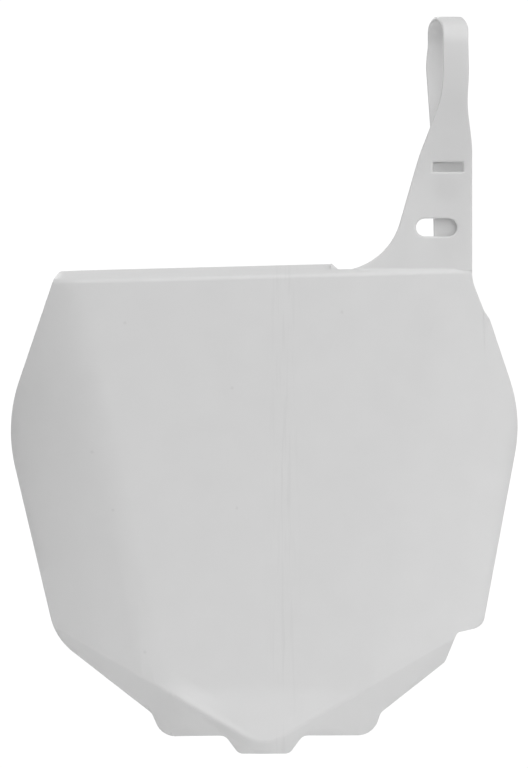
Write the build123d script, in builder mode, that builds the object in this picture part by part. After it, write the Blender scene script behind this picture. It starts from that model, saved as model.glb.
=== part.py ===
"""Front number board of an off-road motorbike, in white plastic.

One injection moulding: a dished face with swept-back sides, a turned-back top lip, lower
flanges that end in tabs, an arm at the upper right, and a thin strap that grows out of the
arm, loops back over the handlebar's crossbar and hangs down behind the arm.

Millimetres. +Z is up, the face looks towards -Y, and the origin is the crossbar's axis in
the strap's loop. The crossbar runs along X.
"""

import os
from math import cos, degrees, radians, sin, tan

from build123d import *

# Walls and rounded creases
wall = 2.2
crease_round = 3.0
edge_break = 0.5

# Where the face lies, from the crossbar's axis
board_shift = 88.3
face_drop = 112.2
arm_setback = 4.6

# Face: crown across it, and the slanting side creases
crown_radius = 1600.0
top_half_face = 99.0
face_narrowing = 0.228

# Sides, swept back beyond the creases: more and tighter at the top than at the bottom
top_sweep = 26.0
top_crease_round = 50.0
top_side_radius = 80.0
low_sweep = 8.0
low_crease_round = 80.0
low_side_radius = 300.0

# Chin: the lowest part of the face leans forward
chin_level = 200.5
chin_lean = 8.0
chin_round = 40.0

# Lower flanges, folded back along the V of the face
v_tip_level = 228.0
v_slope = 29.5
v_tip_round = 16.0
flange_fold = 40.0

# Top lip, folded back along the face's top edge
top_tilt = 1.45
lip_fold = 62.0
lip_rise = 5.1

# Outline of the board in front view, as points with their rounding, from the middle of the
# face's top edge: the lip and the arm's foot
lip_corner = (-100.2, 3.4, 9.0)
lip_end = 32.3
lip_end_slope = 3.6
lip_end_round = 1.5
arm_foot = (42.2, 3.2, 4.0)
arm_base = (60.7, 8.2, 32.0)

# Its sides
shoulder_top = (100.8, -2.4, 20.0)
shoulder_low = (106.6, -17.0, 3.0)
shoulder_step = (109.3, -20.9, 4.0)
right_widest = (125.2, -67.9, 70.0)
left_widest = (-125.8, -71.4, 75.0)

# Its lower edge, from the right to the left
right_corner = (106.1, -170.0, 7.0)
right_notch = (93.6, -172.8, 3.0)
right_heel = (87.7, -187.1, 6.0)
right_tab_root = (56.3, -211.8, 6.0)
right_tab = (53.3, -222.7, 10.5)
tip_half = 12.3
tip_level = 231.3
tip_round = 4.0
tip_root_half = 18.8
tip_root_level = 222.5
tip_root_round = 5.0
left_tab = (-49.4, -223.2, 10.0)
left_tab_root = (-54.5, -211.7, 6.0)
left_corner = (-101.0, -175.7, 30.0)

# Arm: its wall, its edges and its neck, where the strap begins
arm_wall = 2.4
arm_edge = 12.45
waist_shift = 13.5
waist_drop = 54.7
waist_round = 110.0
neck_drop = 24.2
neck_round = 55.0
right_neck_start = 14.0
right_neck_shift = 10.0
right_neck_drop = 29.5
right_neck_end = 49.0

# Strap and its loop round the crossbar
bar_radius = 11.1
bar_clearance = 0.1
strap_wall = 2.0
strap_width = 12.25
strap_shift = 4.375
limb_flare = 0.35
loop_slant = 7.2
slant_round = 5.0
front_limb_drop = 80.0
front_knee = 0.4
back_limb_drop = 50.0
back_knee = 0.5
tail_gap = 1.6
tail_end = 107.0
tail_left = 5.9
tail_right = 8.6
tail_taper = 1.0
tail_round = 5.0
tail_neck = 54.0
tail_bulge = 1.0
tail_bulge_start = 1.0
tail_bulge_drop = 10.0
tail_bulge_round = 10.0
tail_side_round = 40.0

# Slots through the arm, and the catch across the tail
window_width = 14.7
window_height = 4.7
window_shift = 0.7
window_drop = 59.5
slot_length = 19.7
slot_width = 8.6
slot_shift = -4.85
slot_drop = 88.8
catch_drop = 69.8
catch_rise = 1.1
catch_clearance = 0.5

# Sizes that follow from the ones above
loop_inner = bar_radius + bar_clearance
loop_outer = loop_inner + strap_wall
slant_reach = loop_inner - strap_wall / 2
strap_left = strap_shift - strap_width / 2
strap_right = strap_shift + strap_width / 2
tail_front = arm_wall + tail_gap
tail_back = tail_front + strap_wall
face_y = -arm_setback

# How far blocks reach beyond the outline that trims them, and how far a trimming line
# stays clear of an edge that it spares
reach = 4.5 * loop_outer
spare = wall / 8

# The front view of the board, and the plane of its top crease
front = Plane(origin=(-board_shift, face_y, -face_drop), x_dir=(1, 0, 0), z_dir=(0, -1, 0))
crease_plane = Plane(
    origin=front.origin,
    x_dir=(cos(radians(top_tilt)), 0, sin(radians(top_tilt))),
    z_dir=(-sin(radians(top_tilt)), 0, cos(radians(top_tilt))),
)


def face_block(inset):
    """Everything behind the face and its sides, as one block, with its front moved in by inset."""
    with BuildPart() as block:
        for level, sweep, crease_radius, side_radius in (
            (reach / 2, top_sweep, top_crease_round, top_side_radius),
            (-tip_level - reach / 2, low_sweep, low_crease_round, low_side_radius),
        ):
            half = top_half_face + face_narrowing * level
            half_crown = half - crease_radius * tan(radians(sweep) / 2)
            crown_turn = degrees(half_crown / crown_radius)
            with BuildSketch(Plane((-board_shift, face_y, level - face_drop))):
                with BuildLine():
                    ends = []
                    for side in (1, -1):
                        turn = side * crown_turn
                        crown = JernArc((0, inset), (side, 0), crown_radius - inset, turn)
                        turn = side * (sweep - crown_turn)
                        blend = JernArc(crown @ 1, crown % 1, crease_radius - inset, turn)
                        turn = side * degrees(reach / side_radius)
                        edge = JernArc(blend @ 1, blend % 1, side_radius - inset, turn)
                        ends.append(edge @ 1)
                    Polyline(ends[0], (ends[0].X, reach), (ends[1].X, reach), ends[1])
                make_face()
        loft(ruled=True)
    return block.part


def board_block(inset):
    """The face block with its chin, cut to the face's edges and folded back beyond them."""
    with BuildPart() as block:
        add(face_block(inset))
        # The chin carries the face's section on, down and forward
        chin_z = -face_drop - chin_level - inset * tan(radians(chin_lean) / 2)
        split(bisect_by=Plane((0, 0, chin_z)), keep=Keep.TOP)
        low_face = block.faces().sort_by(Axis.Z)[0]
        extrude(low_face, amount=reach, dir=(0, -tan(radians(chin_lean)), -1))
        bend = block.edges().filter_by(lambda e: abs(e.center().Z - chin_z) < 0.01)
        bend = bend.filter_by(lambda e: e.center().Y < reach / 2)
        fillet(bend, radius=chin_round + inset)
        # The face's top edge and its V, which move in as the wall does
        top = -inset * tan(radians(lip_fold) / 2)
        tip = inset * tan(radians(flange_fold) / 2) / cos(radians(v_slope)) - v_tip_level
        side = 2 * reach + 20
        rise = side * tan(radians(top_tilt))
        ends = side * tan(radians(v_slope))
        with BuildSketch(front):
            with BuildLine():
                creases = FilletPolyline(
                    (-side, top - rise),
                    (side, top + rise),
                    (side, tip + ends),
                    (0, tip),
                    (-side, tip + ends),
                    radius=[0, 0, 0, v_tip_round - inset / 2, 0],
                    close=True,
                )
            make_face()
        extrude(amount=2 * reach, both=True, mode=Mode.INTERSECT)
        top_faces = block.faces().filter_by(lambda f: f.normal_at().Z > 0.9)
        v_faces = block.faces().filter_by(lambda f: f.normal_at().Z < -0.3)
        drop = cos(radians(v_slope)) * tan(radians(flange_fold))
        extrude(v_faces, amount=reach, dir=(0, drop, -1))
        extrude(top_faces, amount=3 * lip_rise, dir=(0, tan(radians(lip_fold)), 1))
        # Rounded creases, at the front ends of the folds
        path = front.from_local_coords(creases)
        folds = block.edges().filter_by(lambda e: e.center().Y < reach / 2)
        folds = folds.filter_by(lambda e: lies_on(e, path))
        fillet(folds, radius=max(crease_round - inset, spare))
    return block.part


def lies_on(edge, path):
    """Whether an edge covers part of a path, and isn't end on, when both are seen from the front."""
    start = edge @ 0
    end = edge @ 1
    if abs(start.X - end.X) + abs(start.Z - end.Z) < 0.05:
        return False
    for where in (0.1, 0.5, 0.9):
        spot = edge @ where
        if path.distance_to(Vertex(spot.X, face_y, spot.Z)) > 0.02:
            return False
    return True


def at_seam(edge):
    """Whether an edge lies level with the crossbar's axis, where the strap's lengths meet."""
    return abs(edge.center().Z) < 0.01


def from_bar(shift, drop, rounding):
    """A point of the outline that is given from the crossbar's axis."""
    return (board_shift + shift, face_drop - drop, rounding)


def limb_side(top, foot, knee):
    """One side of a limb seen from +X: two arcs that leave the loop and end upright."""
    bend = Vector(top) + (Vector(foot) - Vector(top)) * knee
    first = TangentArc(top, bend, tangent=(0, foot[1] - top[1]))
    TangentArc(bend, foot, tangent=first % 1)


# The outline in front view, round the board, the arm and the strap up to its loop
lip_end_top = lip_rise + lip_end * tan(radians(top_tilt)) + spare
corners = (
    lip_corner,
    (lip_end, lip_end_top, lip_end_round),
    (lip_end + lip_end_slope, arm_foot[1], lip_end_round),
    arm_foot,
    arm_base,
    from_bar(-waist_shift, waist_drop, waist_round),
    from_bar(strap_left, neck_drop, neck_round),
    from_bar(strap_left, 0, 0),
    from_bar(strap_right, 0, 0),
    from_bar(strap_right + limb_flare, right_neck_start, neck_round),
    from_bar(right_neck_shift, right_neck_drop, neck_round),
    from_bar(arm_edge, right_neck_end, neck_round),
    shoulder_top,
    shoulder_low,
    shoulder_step,
    right_widest,
    right_corner,
    right_notch,
    right_heel,
    right_tab_root,
    right_tab,
    (tip_root_half, -tip_root_level, tip_root_round),
    (tip_half, -tip_level, tip_round),
    (-tip_half, -tip_level, tip_round),
    (-tip_root_half, -tip_root_level, tip_root_round),
    left_tab,
    left_tab_root,
    left_corner,
    left_widest,
)
points = [corner[:2] for corner in corners]
radii = [corner[2] for corner in corners]
with BuildPart() as outline_block:
    with BuildSketch(front):
        with BuildLine():
            outline = FilletPolyline(*points, radius=radii, close=True)
        make_face()
    extrude(amount=reach, both=True)

# The arm and the front limb of the strap: one bent sheet, cut out and broken along its rims
# before it ends at the crease
with BuildPart() as arm:
    with BuildSketch(Plane.YZ.offset(lip_end - board_shift - 2 * lip_rise)):
        with BuildLine():
            limb_side((-loop_outer, 0), (0, -front_limb_drop), front_knee)
            limb_side((-loop_inner, 0), (arm_wall, -front_limb_drop), front_knee)
            Line((-loop_outer, 0), (-loop_inner, 0))
            Polyline(
                (0, -front_limb_drop),
                (0, -face_drop - 2 * lip_rise),
                (arm_wall, -face_drop - 2 * lip_rise),
                (arm_wall, -front_limb_drop),
            )
        make_face()
    extrude(amount=board_shift + reach)
    add(outline_block.part, mode=Mode.INTERSECT)
    path = front.from_local_coords(outline)
    rims = arm.edges().filter_by(lambda e: lies_on(e, path) and not at_seam(e))
    chamfer(rims, length=edge_break)
    split(bisect_by=crease_plane, keep=Keep.TOP)
    split(bisect_by=Plane.YZ.offset(lip_end - board_shift), keep=Keep.TOP)

# What the lip gives up: all beyond its own depth, and all behind the arm
with BuildPart() as lip_limit:
    add(face_block(0).moved(Location((0, lip_rise * tan(radians(lip_fold)), 0))))
    with BuildSketch(Plane.XZ.offset(-arm_wall)):
        with Locations((lip_end - board_shift, -face_drop)):
            Rectangle(2 * reach, 2 * reach, align=(Align.MIN, Align.CENTER))
    extrude(amount=-reach)
    split(bisect_by=crease_plane, keep=Keep.TOP)

# The board: a wall between two blocks, cut to its outline with the arm
with BuildPart() as number_board:
    add(board_block(0))
    add(board_block(wall), mode=Mode.SUBTRACT)
    add(lip_limit.part, mode=Mode.SUBTRACT)
    add(outline_block.part, mode=Mode.INTERSECT)
    add(arm.part)
    # Slots through the arm, short of the strap's tail behind it
    with BuildSketch(Plane.XZ.offset(-arm_wall - tail_gap / 2)):
        with Locations((window_shift, -window_drop)):
            Rectangle(window_width, window_height)
        with Locations((slot_shift, -slot_drop)):
            SlotOverall(slot_length, slot_width)
    extrude(amount=reach, mode=Mode.SUBTRACT)

# The strap's loop, which leans to the left on its way over the bar
with BuildPart() as loop:
    with BuildSketch(Plane.YZ.offset(-strap_width)):
        Circle(loop_outer)
        Circle(loop_inner, mode=Mode.SUBTRACT)
        Rectangle(4 * loop_outer, 2 * loop_outer, align=(Align.CENTER, Align.MAX), mode=Mode.SUBTRACT)
    extrude(amount=3 * strap_width)
    with BuildSketch(Plane.XY):
        with BuildLine():
            FilletPolyline(
                (strap_left, -2 * loop_outer),
                (strap_left, -slant_reach),
                (strap_left - loop_slant, slant_reach),
                (strap_left - loop_slant, 2 * loop_outer),
                (strap_right - loop_slant, 2 * loop_outer),
                (strap_right - loop_slant, slant_reach),
                (strap_right, -slant_reach),
                (strap_right, -2 * loop_outer),
                radius=[0, slant_round, slant_round, 0, 0, slant_round, slant_round, 0],
                close=True,
            )
        make_face()
    extrude(amount=2 * loop_outer, mode=Mode.INTERSECT)
    flanks = loop.faces().filter_by(lambda f: abs(f.normal_at().X) > 0.5)
    chamfer(flanks.edges().filter_by(lambda e: not at_seam(e)), length=edge_break)

# The strap's back limb and its tail, down behind the arm
with BuildPart() as tail:
    with BuildSketch(Plane.YZ.offset(-strap_width)):
        with BuildLine():
            limb_side((loop_outer, 0), (tail_back, -back_limb_drop), back_knee)
            limb_side((loop_inner, 0), (tail_front, -back_limb_drop), back_knee)
            Line((loop_outer, 0), (loop_inner, 0))
            Polyline(
                (tail_back, -back_limb_drop),
                (tail_back, -tail_end),
                (tail_front, -tail_end),
                (tail_front, -back_limb_drop),
            )
        make_face()
    extrude(amount=2 * strap_width)
    with BuildSketch(Plane.XZ):
        with BuildLine():
            left = strap_left - loop_slant
            right = strap_right - loop_slant
            side_rounds = [0, tail_bulge_round, tail_side_round, tail_side_round, tail_round]
            FilletPolyline(
                (left, 0),
                (left, -tail_bulge_start),
                (left - tail_bulge, -tail_bulge_drop),
                (-tail_left - tail_taper, -tail_neck),
                (-tail_left, -tail_end),
                (tail_right, -tail_end),
                (tail_right, -tail_neck),
                (right - tail_bulge, -tail_bulge_drop),
                (right, -tail_bulge_start),
                (right, 0),
                radius=side_rounds + side_rounds[::-1],
                close=True,
            )
        make_face()
    extrude(amount=2 * loop_outer, both=True, mode=Mode.INTERSECT)
    flanks = tail.faces().filter_by(lambda f: abs(f.normal_at().Y) < 0.2 and f.center().Z < -0.01)
    rims = flanks.edges().filter_by(lambda e: abs(e.tangent_at(0.5).Y) < 0.9 and not at_seam(e))
    chamfer(rims, length=edge_break)
    # A low catch across the tail, sized for the arm's window
    with BuildSketch(Plane.XZ.offset(-tail_front - strap_wall / 2)):
        with Locations((window_shift, -catch_drop)):
            Rectangle(window_width - 2 * catch_clearance, window_height - 2 * catch_clearance)
    extrude(amount=catch_rise + strap_wall / 2)

with number_board:
    add(loop.part)
    add(tail.part)

os.makedirs("parts", exist_ok=True)
number_board.part.label = "number_board"
export_step(number_board.part, "parts/number_board.step")
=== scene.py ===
# %% [markdown]
# # Dressing a moulded number board
# The part is the front number board of an off-road motorbike: one injection moulding in
# white polypropylene, with a dished face, folded edges, and an arm that ends in a strap.
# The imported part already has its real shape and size. This lesson gives it the soft rims,
# the plastic and the light that the eye expects, and changes none of its dimensions.
# Everything here is in metres, in the part's own frame: +Z is up, the face looks towards
# -Y, and the origin is on the axis of the handlebar's crossbar, inside the strap's loop.

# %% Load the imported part
from math import cos, pi, radians, sin

import bmesh
import bpy
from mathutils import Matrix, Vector


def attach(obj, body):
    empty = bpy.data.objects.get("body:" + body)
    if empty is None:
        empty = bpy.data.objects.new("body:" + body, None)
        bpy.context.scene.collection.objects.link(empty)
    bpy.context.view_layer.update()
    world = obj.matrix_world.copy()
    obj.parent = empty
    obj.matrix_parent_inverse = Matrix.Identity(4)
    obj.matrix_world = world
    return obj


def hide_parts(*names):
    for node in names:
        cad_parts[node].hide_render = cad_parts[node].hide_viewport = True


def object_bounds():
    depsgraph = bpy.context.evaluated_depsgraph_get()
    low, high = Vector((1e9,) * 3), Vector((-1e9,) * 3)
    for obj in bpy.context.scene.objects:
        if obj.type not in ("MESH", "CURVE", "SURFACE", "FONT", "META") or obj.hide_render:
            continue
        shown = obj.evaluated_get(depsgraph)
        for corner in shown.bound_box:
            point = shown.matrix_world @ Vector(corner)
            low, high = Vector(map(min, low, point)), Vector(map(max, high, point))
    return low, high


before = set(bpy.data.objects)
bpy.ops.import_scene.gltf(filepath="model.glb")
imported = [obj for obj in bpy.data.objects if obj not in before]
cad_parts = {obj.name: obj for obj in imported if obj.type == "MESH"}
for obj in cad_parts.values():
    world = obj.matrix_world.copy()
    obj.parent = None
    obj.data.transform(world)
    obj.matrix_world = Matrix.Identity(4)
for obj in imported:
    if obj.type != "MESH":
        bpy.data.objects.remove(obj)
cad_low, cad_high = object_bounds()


def in_mm(lengths):
    """Those lengths in millimetres, rounded to print."""
    return [round(1000 * length, 1) for length in lengths]


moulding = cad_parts["number_board"]
print("board box in mm", in_mm(cad_low), in_mm(cad_high))

# %% [markdown]
# ## The camera
# The board was photographed from far off with a long lens, level and square to its face,
# so its outline is nearly a parallel view. A real camera could stand anywhere on that line:
# what the picture fixes is the scale at the bar, and the point in the picture's middle.
# Working out the lens from that scale keeps the framing right at any distance. An
# orthographic camera would also do, but a distant lens keeps the other views natural.

# %% Stand the camera square to the face
photo_width = 528
photo_height = 768
metres_per_pixel = 0.000484
bar_pixel_x = 446.45
bar_pixel_y = 43.95
camera_distance = 10.0
sensor_height = 0.036

view_x = (photo_width / 2 - bar_pixel_x) * metres_per_pixel
view_z = (bar_pixel_y - photo_height / 2) * metres_per_pixel
view_height = photo_height * metres_per_pixel

camera_data = bpy.data.cameras.new("photo_camera")
camera_data.sensor_fit = "VERTICAL"
camera_data.sensor_height = 1000 * sensor_height
camera_data.lens = 1000 * sensor_height * camera_distance / view_height
camera = bpy.data.objects.new("photo_camera", camera_data)
camera.location = (view_x, -camera_distance, view_z)
camera.rotation_euler = (pi / 2, 0, 0)
bpy.context.scene.collection.objects.link(camera)
bpy.context.scene.camera = camera
print("camera lens", round(camera_data.lens), "mm, aimed at", in_mm((view_x, view_z)))

# %% [markdown]
# ## The rims
# A moulding tool can't hold a knife edge, and a sharp rim would cut a rider's hand, so every
# rim of the real board is rounded and catches a thin line of light. The rims could be
# rounded with a Bevel modifier on the loaded part, but its mesh is loose triangles, which
# would split open. So the piece is a copy, and its doubles are merged into one closed skin.

# %% Merge a copy of the moulding into one closed skin
merge_distance = 1e-6
needle_width = 2e-5

skin = bmesh.new()
skin.from_mesh(moulding.data)
bmesh.ops.remove_doubles(skin, verts=skin.verts, dist=merge_distance)
bmesh.ops.dissolve_degenerate(skin, dist=needle_width, edges=skin.edges)
print("closed skin", all(edge.is_manifold for edge in skin.edges), "faces", len(skin.faces))

# %% [markdown]
# On a closed skin the sharp edges are the rims of the board, and the bevel operator rounds
# them. A modifier with a limit on the angle would find the same edges, but would give them
# all one width. The overlap clamp stays off, because one short edge would shrink every rim
# with it.

# %% Find the sharp edges, and round them
rim_angle = radians(60)
rim_steps = 3


def sharp_edges():
    """The edges of the skin that are still sharp."""
    return [edge for edge in skin.edges if edge.calc_face_angle(0) > rim_angle]


def round_off(edges, width):
    """Round those edges of the skin with that width."""
    bmesh.ops.bevel(
        skin,
        geom=edges,
        offset=width,
        offset_type="OFFSET",
        affect="EDGES",
        segments=rim_steps,
        profile=0.5,
        clamp_overlap=False,
        material=-1,
    )


print("sharp edges", len(sharp_edges()))

# %% [markdown]
# The window and the slot of the arm are softer in front than the rest, and their lower edges
# show as light lines, so they are rounded first and wider. Their edges could be named by
# number, but the numbers change with every export of the part. A box round each hole finds
# them again.

# %% Round the front of the arm's window and slot
hole_round = 0.0009
arm_front = 0.0007
# Each box is given by its left, right, low and high side.
window_bounds = (-0.0073, 0.0087, -0.0625, -0.0565)
slot_bounds = (-0.0155, 0.0060, -0.0937, -0.0839)


def in_hole(point, bounds):
    """Whether a point lies in the front of the hole with those bounds."""
    left, right, low, high = bounds
    return left < point.x < right and low < point.z < high and point.y < arm_front


def round_hole(edge):
    """Whether an edge goes round the front of the window or the slot."""
    return any(
        all(in_hole(vert.co, bounds) for vert in edge.verts)
        for bounds in (window_bounds, slot_bounds)
    )


holes = [edge for edge in sharp_edges() if round_hole(edge)]
round_off(holes, hole_round)
print("edges of holes rounded", len(holes))

# %% [markdown]
# The other rims get half a millimetre. Where the arm grows out of the top crease its rims
# run into each other, and behind its foot lies a narrow ledge that no one sees. Rounded
# without the clamp, the edges there would cross and throw out spikes, so they stay sharp.

# %% Know the rims at the arm's feet
foot_clearance = 0.006
# The feet are places in the front view, so their depth is zero.
arm_feet = (Vector((0.0125, 0, -0.1085)), Vector((-0.056, 0, -0.107)), Vector((-0.045, 0, -0.1085)))
arm_back = 0.0023
ledge_left = -0.0565
ledge_low = -0.1125
ledge_high = -0.1075


def at_foot(edge):
    """Whether the middle of an edge, seen from the front, lies at a foot of the arm."""
    middle = (edge.verts[0].co + edge.verts[1].co) / 2
    middle.y = 0
    return any((middle - foot).length < foot_clearance for foot in arm_feet)


def on_ledge(edge):
    """Whether an edge lies on the ledge behind the arm's foot."""
    return all(
        vert.co.y > arm_back and vert.co.x > ledge_left and ledge_low < vert.co.z < ledge_high
        for vert in edge.verts
    )


# %% Round the other rims
rim_round = 0.0005

sharp = sharp_edges()
rims = [edge for edge in sharp if not at_foot(edge) and not on_ledge(edge)]
round_off(rims, rim_round)
print("rims rounded", len(rims), "of", len(sharp))

# %% [markdown]
# The skin becomes the piece that is seen. The face is made of a few long facets, and each
# rim of many small ones. Smooth shading would let the small ones pull the light across the
# large ones, so the normals are weighted by area. More facets would cure it too, but they
# would add weight and no shape.

# %% Make the board and weight its normals by area
board_mesh = bpy.data.meshes.new("moulded_board")
skin.to_mesh(board_mesh)
skin.free()
board_mesh.shade_smooth()
board = bpy.data.objects.new("moulded_board", board_mesh)
bpy.context.scene.collection.objects.link(board)

weighting = board.modifiers.new("even_shading", "WEIGHTED_NORMAL")
weighting.mode = "FACE_AREA"
weighting.keep_sharp = True
print("faces", len(board_mesh.polygons))

# %% [markdown]
# ## The plastic
# Natural polypropylene is milky: light goes a little way into it and comes out again, so
# slots and folds never go dark, and its gloss is soft. The mould leaves its marks on it, and
# use leaves some dirt. The marks could be painted on an image, but nodes stay sharp at any
# size and are easy to change. Each kind of mark is one small node group, which puts out a
# mask, a tone or a height. The shader and its plain numbers stay in the material. The
# helpers here open such a group, and give a socket a number or a link.

# %% Helpers that open a node group and feed its sockets
def open_group(name, inputs, outputs):
    """A shader group with those inputs, each with its value, and those outputs."""
    group = bpy.data.node_groups.new(name, "ShaderNodeTree")
    for label, value in inputs.items():
        kind = "NodeSocketVector" if isinstance(value, tuple) else "NodeSocketFloat"
        socket = group.interface.new_socket(label, in_out="INPUT", socket_type=kind)
        socket.default_value = value
    for label in outputs:
        group.interface.new_socket(label, in_out="OUTPUT", socket_type="NodeSocketFloat")
    group_in = group.nodes.new("NodeGroupInput")
    group_out = group.nodes.new("NodeGroupOutput")
    print("group", name, "puts out", *outputs)
    return group, group_in.outputs, group_out.inputs


def feed(tree, socket, value):
    """Link a socket to that value where it is a socket too, or set it to that value."""
    if isinstance(value, bpy.types.NodeSocket):
        tree.links.new(value, socket)
    else:
        socket.default_value = value


# %% [markdown]
# Every mark is worked out from few kinds of node: sums on numbers, sums on points, noise,
# and a soft step that fades a mask out. One short function for each keeps the groups
# readable, where the same nodes set up by hand would take a page.

# %% Helpers for sums, noise and soft steps
def math_node(tree, operation, *values):
    """A Math node on those sockets or numbers. It returns its output socket."""
    node = tree.nodes.new("ShaderNodeMath")
    node.operation = operation
    for socket, value in zip(node.inputs, values):
        feed(tree, socket, value)
    return node.outputs["Value"]


def vector_node(tree, operation, first, second):
    """A Vector Math node on two sockets or points. It returns its output sockets."""
    node = tree.nodes.new("ShaderNodeVectorMath")
    node.operation = operation
    feed(tree, node.inputs[0], first)
    feed(tree, node.inputs[1], second)
    return node.outputs


def noise(tree, point, scale, detail):
    """Noise at that point, with that scale and detail. It returns its output socket."""
    node = tree.nodes.new("ShaderNodeTexNoise")
    for label, value in (("Vector", point), ("Scale", scale), ("Detail", detail)):
        feed(tree, node.inputs[label], value)
    return node.outputs["Fac"]


def fade(tree, value, near, far):
    """A soft mask of that value: 1 up to near, 0 from far on."""
    node = tree.nodes.new("ShaderNodeMapRange")
    node.interpolation_type = "SMOOTHSTEP"
    limits = {"Value": value, "From Min": near, "From Max": far, "To Min": 1, "To Max": 0}
    for label, limit in limits.items():
        feed(tree, node.inputs[label], limit)
    return node.outputs["Result"]


def distance_across(tree, first, second):
    """The distance between two points, seen from the front."""
    no_depth = (1, 0, 1)
    first_flat = vector_node(tree, "MULTIPLY", first, no_depth)["Vector"]
    second_flat = vector_node(tree, "MULTIPLY", second, no_depth)["Vector"]
    return vector_node(tree, "DISTANCE", first_flat, second_flat)["Value"]


# %% [markdown]
# A speck is a spot of burnt resin or dirt in the face. Its mask fades out with the distance
# from a point. The distance is measured across the face only, so that the face's dish
# doesn't matter, and noise bends it, so that no speck is a clean disc. The noise is raised
# until its mean is 1, so that it bends the distance both ways. A ready-made cell texture
# could scatter such specks too, but not at the places of the real ones.

# %% The speck group
# The same group also draws a painted shade on the arm, where the strap's tail lies behind it.
speck_raggedness = 2500
noise_mean = 0.5
speck_core = 0.35

speck_and_shade_group, speck_in, speck_out = open_group(
    "speck_and_shade_spot", {"Point": (0, 0, 0), "Place": (0, 0, 0), "Size": 0.0004}, ["Mask"]
)
away = distance_across(speck_and_shade_group, speck_in["Point"], speck_in["Place"])
ragged = noise(speck_and_shade_group, speck_in["Point"], speck_raggedness, detail=1)
bending = math_node(speck_and_shade_group, "ADD", ragged, 1 - noise_mean)
bent = math_node(speck_and_shade_group, "MULTIPLY", away, bending)
core = math_node(speck_and_shade_group, "MULTIPLY", speck_in["Size"], speck_core)
feed(speck_and_shade_group, speck_out["Mask"], fade(speck_and_shade_group, bent, core, speck_in["Size"]))

# %% [markdown]
# The melt enters behind the middle of the face and runs down it, and leaves hair-fine
# lines there. A wave texture would make them even and regular. So they are the peaks of a
# noise that is drawn out along Z, inside a band that fades at both sides.

# %% The flow line group
drawn_out = 0.05
peak_foot = 0.48
peak_top = 0.66

flow_group, flow_in, flow_out = open_group(
    "flow_lines",
    {"Point": (0, 0, 0), "Middle": 0.0, "Spread": 0.01, "Fineness": 600.0},
    ["Lines"],
)
stretched = vector_node(flow_group, "MULTIPLY", flow_in["Point"], (1, 0, drawn_out))["Vector"]
streaks = noise(flow_group, stretched, flow_in["Fineness"], detail=2)
threads = math_node(flow_group, "SUBTRACT", 1, fade(flow_group, streaks, peak_foot, peak_top))

split_point = flow_group.nodes.new("ShaderNodeSeparateXYZ")
feed(flow_group, split_point.inputs["Vector"], flow_in["Point"])
off_middle = math_node(flow_group, "SUBTRACT", split_point.outputs["X"], flow_in["Middle"])
sideways = math_node(flow_group, "ABSOLUTE", off_middle)
band = fade(flow_group, sideways, 0, flow_in["Spread"])
feed(flow_group, flow_out["Lines"], math_node(flow_group, "MULTIPLY", threads, band))

# %% [markdown]
# The skin itself has two scales: a long, shallow waviness where the wall shrank as it
# cooled, and a fine satin grain from the polished steel. One noise with much detail would
# give every scale between them too, which a polished mould doesn't have, so each is a plain
# noise of its own. The waviness alone also gives the plastic its slow change of tone.

# %% The skin group
grain_height = 0.05

skin_group, skin_in, skin_out = open_group(
    "moulded_skin",
    {"Point": (0, 0, 0), "Wave Scale": 60.0, "Grain Scale": 1800.0},
    ["Height", "Tone"],
)
waves = noise(skin_group, skin_in["Point"], skin_in["Wave Scale"], detail=1)
grain = noise(skin_group, skin_in["Point"], skin_in["Grain Scale"], detail=2)
grain_share = math_node(skin_group, "MULTIPLY", grain, grain_height)
feed(skin_group, skin_out["Height"], math_node(skin_group, "ADD", waves, grain_share))
feed(skin_group, skin_out["Tone"], waves)

# %% [markdown]
# Behind the face the mould's ejector pins leave round, slightly glossy prints. They could be
# cut into the mesh, but they are only a fifth of a millimetre deep, and a bump shows that.
# The mask measures the distance across the face, as that of a speck does.

# %% The ejector print group
print_core = 0.7

print_group, print_in, print_out = open_group(
    "ejector_print", {"Point": (0, 0, 0), "Place": (0, 0, 0), "Radius": 0.004}, ["Disc"]
)
across = distance_across(print_group, print_in["Point"], print_in["Place"])
inner = math_node(print_group, "MULTIPLY", print_in["Radius"], print_core)
feed(print_group, print_out["Disc"], fade(print_group, across, inner, print_in["Radius"]))

# %% [markdown]
# At the left end of the chin the moulding stands a little proud along its lower crease, and
# catches the light there: a broad swelling of 2 to 3 mm that fades out over the chin, and a
# narrow bead of a millimetre along the crease itself. In the mesh they would need many more
# facets, and their edge would show. Here both are soft heights for the bump, long along the
# crease and short across it.

# %% The swelling group
swell_group, swell_in, swell_out = open_group(
    "soft_swelling",
    {
        "Point": (0, 0, 0),
        "Place": (0, 0, 0),
        "Across": (1, 0, 0),
        "Along": (0, 0, 1),
        "Width": 0.01,
        "Length": 0.02,
    },
    ["Height"],
)
from_place = vector_node(swell_group, "SUBTRACT", swell_in["Point"], swell_in["Place"])["Vector"]
slopes = []
for label, limit in (("Across", "Width"), ("Along", "Length")):
    share = vector_node(swell_group, "DOT_PRODUCT", from_place, swell_in[label])["Value"]
    way = math_node(swell_group, "ABSOLUTE", share)
    slopes.append(fade(swell_group, way, 0, swell_in[limit]))
feed(swell_group, swell_out["Height"], math_node(swell_group, "MULTIPLY", *slopes))

# %% [markdown]
# The material starts as one Principled shader. Everything that is the same all over is set
# on its own sockets: the plastic's refraction, and how much light comes back out of it and
# how far from where it went in. Glass-like transmission would also let light through, but
# it shows what lies behind, and a wall of 2 mm of this plastic doesn't.

# %% Mix the white polypropylene
refraction = 1.49
milkiness = 0.35
even_reach = (1.0, 1.0, 1.0)
light_reach = 0.0035

plastic = bpy.data.materials.new("white_polypropylene")
plastic.use_nodes = True
tree = plastic.node_tree
shader = tree.nodes["Principled BSDF"]
shader.inputs["IOR"].default_value = refraction
shader.inputs["Subsurface Weight"].default_value = milkiness
shader.inputs["Subsurface Radius"].default_value = even_reach
shader.inputs["Subsurface Scale"].default_value = light_reach
print("light goes", 1000 * light_reach, "mm into the plastic")

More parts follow.
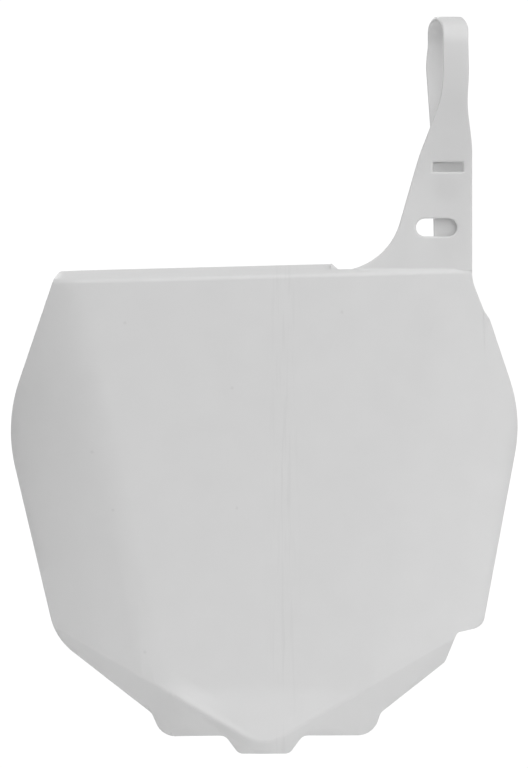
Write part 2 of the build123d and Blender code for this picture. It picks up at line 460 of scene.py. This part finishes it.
# %% [markdown]
# Every group reads the board's own Object coordinates, which are its metres, so a mark lies
# where it does on the real board. A UV map would need its seams hidden. A mark that the
# photo shows takes its place from the photo's pixel. The surface's own direction tells the
# front from the back, so that a speck doesn't come out behind, nor a print in front.

# %% Helpers that place a group in the plastic
facing_limit = 0.5

coordinates = tree.nodes.new("ShaderNodeTexCoord")
facing = tree.nodes.new("ShaderNodeSeparateXYZ")
feed(tree, facing.inputs["Vector"], coordinates.outputs["Normal"])
in_front = math_node(tree, "LESS_THAN", facing.outputs["Y"], -facing_limit)
behind = math_node(tree, "GREATER_THAN", facing.outputs["Y"], facing_limit)


def put_group(group, **values):
    """Place a group in the plastic with its own values. It returns its output sockets."""
    node = tree.nodes.new("ShaderNodeGroup")
    node.node_tree = group
    feed(tree, node.inputs["Point"], coordinates.outputs["Object"])
    for label, value in values.items():
        node.inputs[label.replace("_", " ")].default_value = value
    return node.outputs


def pixel_place(pixel_x, pixel_y):
    """The point on the plane of the bar that the photo shows at that pixel."""
    place_x = (pixel_x - bar_pixel_x) * metres_per_pixel
    place_z = (bar_pixel_y - pixel_y) * metres_per_pixel
    return (place_x, 0, place_z)


# %% [markdown]
# The skin covers the whole board. The flow lines run down its face in a band of 22 mm, at
# the column of pixels where the photo has them. A second material for that band would need
# an edge in the mesh, and the group fades out without one.

# %% Lay the skin and the flow lines
wave_scale = 60
grain_scale = 1800
flow_pixel_x = 284
flow_spread = 0.011
flow_fineness = 600

skin_marks = put_group(skin_group, Wave_Scale=wave_scale, Grain_Scale=grain_scale)
flow_middle = pixel_place(flow_pixel_x, bar_pixel_y)[0]
flow_marks = put_group(flow_group, Middle=flow_middle, Spread=flow_spread, Fineness=flow_fineness)
print("flow lines at", in_mm([flow_middle]), "mm from the bar's middle")

# %% [markdown]
# Seven specks lie on the face. A faint painted shade lies on the arm above its slot, where
# the strap's tail behind the milky wall keeps light out. They are placed one by one, each at
# the photo's pixel, because the eye knows them. The strongest one wins where two meet.

# %% Scatter the specks and the painted shade
speck_pixels = ((125, 323), (232, 388), (342, 312), (92, 452), (113, 510), (237, 508), (145, 652))
speck_size = 0.0011
speck_strength = 0.09
# The last spot is painted shade: the arm is darker above its slot, where the strap's tail lies
# behind its milky wall.
tail_shade_pixel = (447, 189)
tail_shade_size = 0.009
tail_shade_strength = 0.03

spots = [(pixel, speck_size, speck_strength) for pixel in speck_pixels]
spots.append((tail_shade_pixel, tail_shade_size, tail_shade_strength))
dirt_and_shade = 0
for pixel, size, strength in spots:
    spot = put_group(speck_and_shade_group, Place=pixel_place(*pixel), Size=size)
    dirt_and_shade = math_node(tree, "MAXIMUM", math_node(tree, "MULTIPLY", spot["Mask"], strength), dirt_and_shade)
dirt_and_shade = math_node(tree, "MULTIPLY", dirt_and_shade, in_front)
print("spots of dirt", len(spots))

# %% [markdown]
# The pins push the board out of the mould where its back is flat: three and three across
# the wide part, and two low down. Each could have a place of its own, but a toolmaker sets
# them in rows, and so does the loop here.

# %% Print the ejector pins on the back
print_radius = 0.0045
wide_row = (-0.07, 0.0, 0.07)
low_row = (-0.03, 0.03)
print_rows = ((-0.135, wide_row), (-0.215, wide_row), (-0.285, low_row))

pin_places = [(view_x + shift, 0, level) for level, shifts in print_rows for shift in shifts]
prints = 0
for pin_place in pin_places:
    pin = put_group(print_group, Place=pin_place, Radius=print_radius)
    prints = math_node(tree, "MAXIMUM", pin["Disc"], prints)
prints = math_node(tree, "MULTIPLY", prints, behind)
print("ejector prints", len(pin_places))

# %% [markdown]
# The colour is a white that turns slowly to a milkier one with the skin's tone, and to a
# greyer one in the flow lines. The specks mix a little grey into it, and so does a painted
# shade on the arm above its slot. One colour ramp could hold all of these, but a Mix node for
# each can be changed without moving the others.

# %% Join the colour
clean_white = (0.81, 0.81, 0.81, 1)
milky_white = (0.78, 0.78, 0.78, 1)
flow_white = (0.77, 0.77, 0.77, 1)
speck_and_shade_grey = (0.25, 0.24, 0.23, 1)


def colour_socket(sockets, label):
    """The socket with that label that carries a colour."""
    return [socket for socket in sockets if socket.name == label and socket.type == "RGBA"][0]


def mix_colour(factor, first, second):
    """A colour mix on that factor, of two colours or sockets."""
    node = tree.nodes.new("ShaderNodeMix")
    node.data_type = "RGBA"
    feed(tree, node.inputs["Factor"], factor)
    feed(tree, colour_socket(node.inputs, "A"), first)
    feed(tree, colour_socket(node.inputs, "B"), second)
    return colour_socket(node.outputs, "Result")


toned = mix_colour(skin_marks["Tone"], clean_white, milky_white)
streaked = mix_colour(flow_marks["Lines"], toned, flow_white)
feed(tree, shader.inputs["Base Color"], mix_colour(dirt_and_shade, streaked, speck_and_shade_grey))
print("whites", clean_white[0], milky_white[0], flow_white[0])

# %% [markdown]
# The gloss is soft, and softest where the tone is milky. The flow lines and the pins' prints
# lay closer on the steel and are glossier. A noise of its own could vary the gloss too, but
# it wouldn't lie where the marks do. So each mark adds a share to the roughness or takes
# one off.

# %% Join the gloss
satin_roughness = 0.33
tone_roughness = 0.08
line_gloss = 0.06
print_gloss = 0.15


def add_shares(start, *parts):
    """The sum of start and each mask times its share, as a socket."""
    total = start
    for mask, share in parts:
        total = math_node(tree, "ADD", total, math_node(tree, "MULTIPLY", mask, share))
    return total


satin = add_shares(
    satin_roughness,
    (skin_marks["Tone"], tone_roughness),
    (flow_marks["Lines"], -line_gloss),
    (prints, -print_gloss),
)
feed(tree, shader.inputs["Roughness"], satin)
print("roughness", satin_roughness, "to", round(satin_roughness + tone_roughness, 2))

# %% [markdown]
# All heights feed one Bump node. They are real heights, and the node takes them as shares
# of the highest that the skin's own waves reach. Displacement would move the surface
# itself, but on a board that keeps its dimensions only the light should change.

# %% Join the heights
wave_height = 0.00004
line_height = 0.0000024
print_depth = 0.0002
crease_across = (0.52, 0, 0.85)
crease_along = (0.85, 0, -0.52)
# Each swelling has its place, its half width, its half length and its rise.
broad_swelling = (pixel_place(184, 715), 0.016, 0.020, 0.0026)
crease_bead = (pixel_place(217, 721), 0.0037, 0.026, 0.00112)

rises = []
for middle, width, length, rise in (broad_swelling, crease_bead):
    swelling = put_group(
        swell_group,
        Place=middle,
        Across=crease_across,
        Along=crease_along,
        Width=width,
        Length=length,
    )
    rises.append((swelling["Height"], rise / wave_height))
proud = math_node(tree, "MULTIPLY", add_shares(0, *rises), in_front)
height = add_shares(
    skin_marks["Height"],
    (flow_marks["Lines"], line_height / wave_height),
    (prints, -print_depth / wave_height),
    (proud, 1),
)

relief = tree.nodes.new("ShaderNodeBump")
relief.inputs["Strength"].default_value = 1
relief.inputs["Distance"].default_value = wave_height
feed(tree, relief.inputs["Height"], height)
feed(tree, shader.inputs["Normal"], relief.outputs["Normal"])
board_mesh.materials.clear()
board_mesh.materials.append(plastic)
print("plastic nodes", len(tree.nodes))

# %% [markdown]
# ## Floor and light
# The photo is cut out on pure white. A plain pale floor below the board gives it the same
# soft light from beneath, and stays out of the picture because the camera is level. A lamp
# from below would do it too, but would draw its own glints on the rims.

# %% Lay the floor
floor_drop = 0.12
floor_radius = 0.75
floor_segments = 96
floor_white = (0.9, 0.9, 0.9, 1)
floor_roughness = 0.7

floor_level = cad_low.z - floor_drop
floor_mesh = bpy.data.meshes.new("studio_floor")
disc = bmesh.new()
bmesh.ops.create_circle(disc, cap_ends=True, segments=floor_segments, radius=floor_radius)
bmesh.ops.translate(disc, vec=Vector((view_x, 0, floor_level)), verts=disc.verts)
disc.to_mesh(floor_mesh)
disc.free()
floor = bpy.data.objects.new("studio_floor", floor_mesh)
bpy.context.scene.collection.objects.link(floor)
floor_paint = bpy.data.materials.new("pale_floor")
floor_paint.use_nodes = True
floor_shader = floor_paint.node_tree.nodes["Principled BSDF"]
floor_shader.inputs["Base Color"].default_value = floor_white
floor_shader.inputs["Roughness"].default_value = floor_roughness
floor_mesh.materials.append(floor_paint)
print("floor level in mm", in_mm([floor_level]))

# %% [markdown]
# The photo's light is broad, and comes from above and more from the right: the face is even
# and a little lighter at its right, and only the left flank is darker. Softboxes at one
# distance round the board give that, each with the power that the photo's greys ask for. A
# picture of a studio could light it with less work, but not be turned up at one side only.

# %% Hang the lights
light_distance = 2.2
# Each softbox has its azimuth and elevation in degrees, its width and height in metres, and
# its power in watts.
softboxes = {
    "front_top_softbox": (0, 45, 1.2, 1.2, 8.7),
    "right_top_softbox": (50, 45, 1.2, 1.2, 6.9),
    "left_top_softbox": (-60, 45, 1.2, 1.2, 1.9),
    "overhead_strip": (0, 80, 1.6, 0.8, 6.4),
    "front_strip": (-2, 14, 1.6, 0.65, 3.4),
    "right_softbox": (25, 8, 1.2, 1.2, 3.1),
    "side_softbox": (75, 8, 1.2, 1.2, 6.6),
    "back_softbox": (205, 25, 1.6, 1.6, 18.6),
}


def towards(azimuth, elevation):
    """The direction from the board to a light, from two angles in degrees."""
    turn = radians(azimuth)
    climb = radians(elevation)
    return Vector((sin(turn) * cos(climb), -cos(turn) * cos(climb), sin(climb)))


for name, (azimuth, elevation, across_size, up_size, power) in softboxes.items():
    light = bpy.data.lights.new(name, "AREA")
    light.shape = "RECTANGLE"
    light.size = across_size
    light.size_y = up_size
    light.energy = power
    lamp = bpy.data.objects.new(name, light)
    direction = towards(azimuth, elevation)
    lamp.location = Vector((view_x, 0, view_z)) + light_distance * direction
    lamp.rotation_euler = direction.to_track_quat("Z", "Y").to_euler()
    lamp.visible_camera = False
    bpy.context.scene.collection.objects.link(lamp)
print("softboxes", len(softboxes))

# %% [markdown]
# The surroundings are white twice over: bright where the camera sees them, so that the
# background comes out pure white, and dim for the light that they cast, so that the
# softboxes keep their say. A white wall behind the board would need the same brightness,
# and would light the board's back with it. The Standard view keeps white white.

# %% Whiten the surroundings
seen_strength = 1.05
cast_strength = 0.28

world = bpy.data.worlds.new("white_studio")
world.use_nodes = True
bpy.context.scene.world = world
world_nodes = world.node_tree.nodes
world_nodes.clear()


def white_background(strength):
    """A white background of that strength. It returns its output socket."""
    node = world_nodes.new("ShaderNodeBackground")
    node.inputs["Color"].default_value = (1, 1, 1, 1)
    node.inputs["Strength"].default_value = strength
    return node.outputs["Background"]


path = world_nodes.new("ShaderNodeLightPath")
mix = world_nodes.new("ShaderNodeMixShader")
out = world_nodes.new("ShaderNodeOutputWorld")
feed(world.node_tree, mix.inputs["Fac"], path.outputs["Is Camera Ray"])
feed(world.node_tree, mix.inputs[1], white_background(cast_strength))
feed(world.node_tree, mix.inputs[2], white_background(seen_strength))
feed(world.node_tree, out.inputs["Surface"], mix.outputs["Shader"])
bpy.context.scene.view_settings.view_transform = "Standard"
print("surroundings seen at", seen_strength, "and casting", cast_strength)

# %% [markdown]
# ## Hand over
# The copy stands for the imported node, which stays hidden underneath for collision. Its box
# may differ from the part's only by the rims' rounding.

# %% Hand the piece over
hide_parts("number_board")
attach(board, "root")
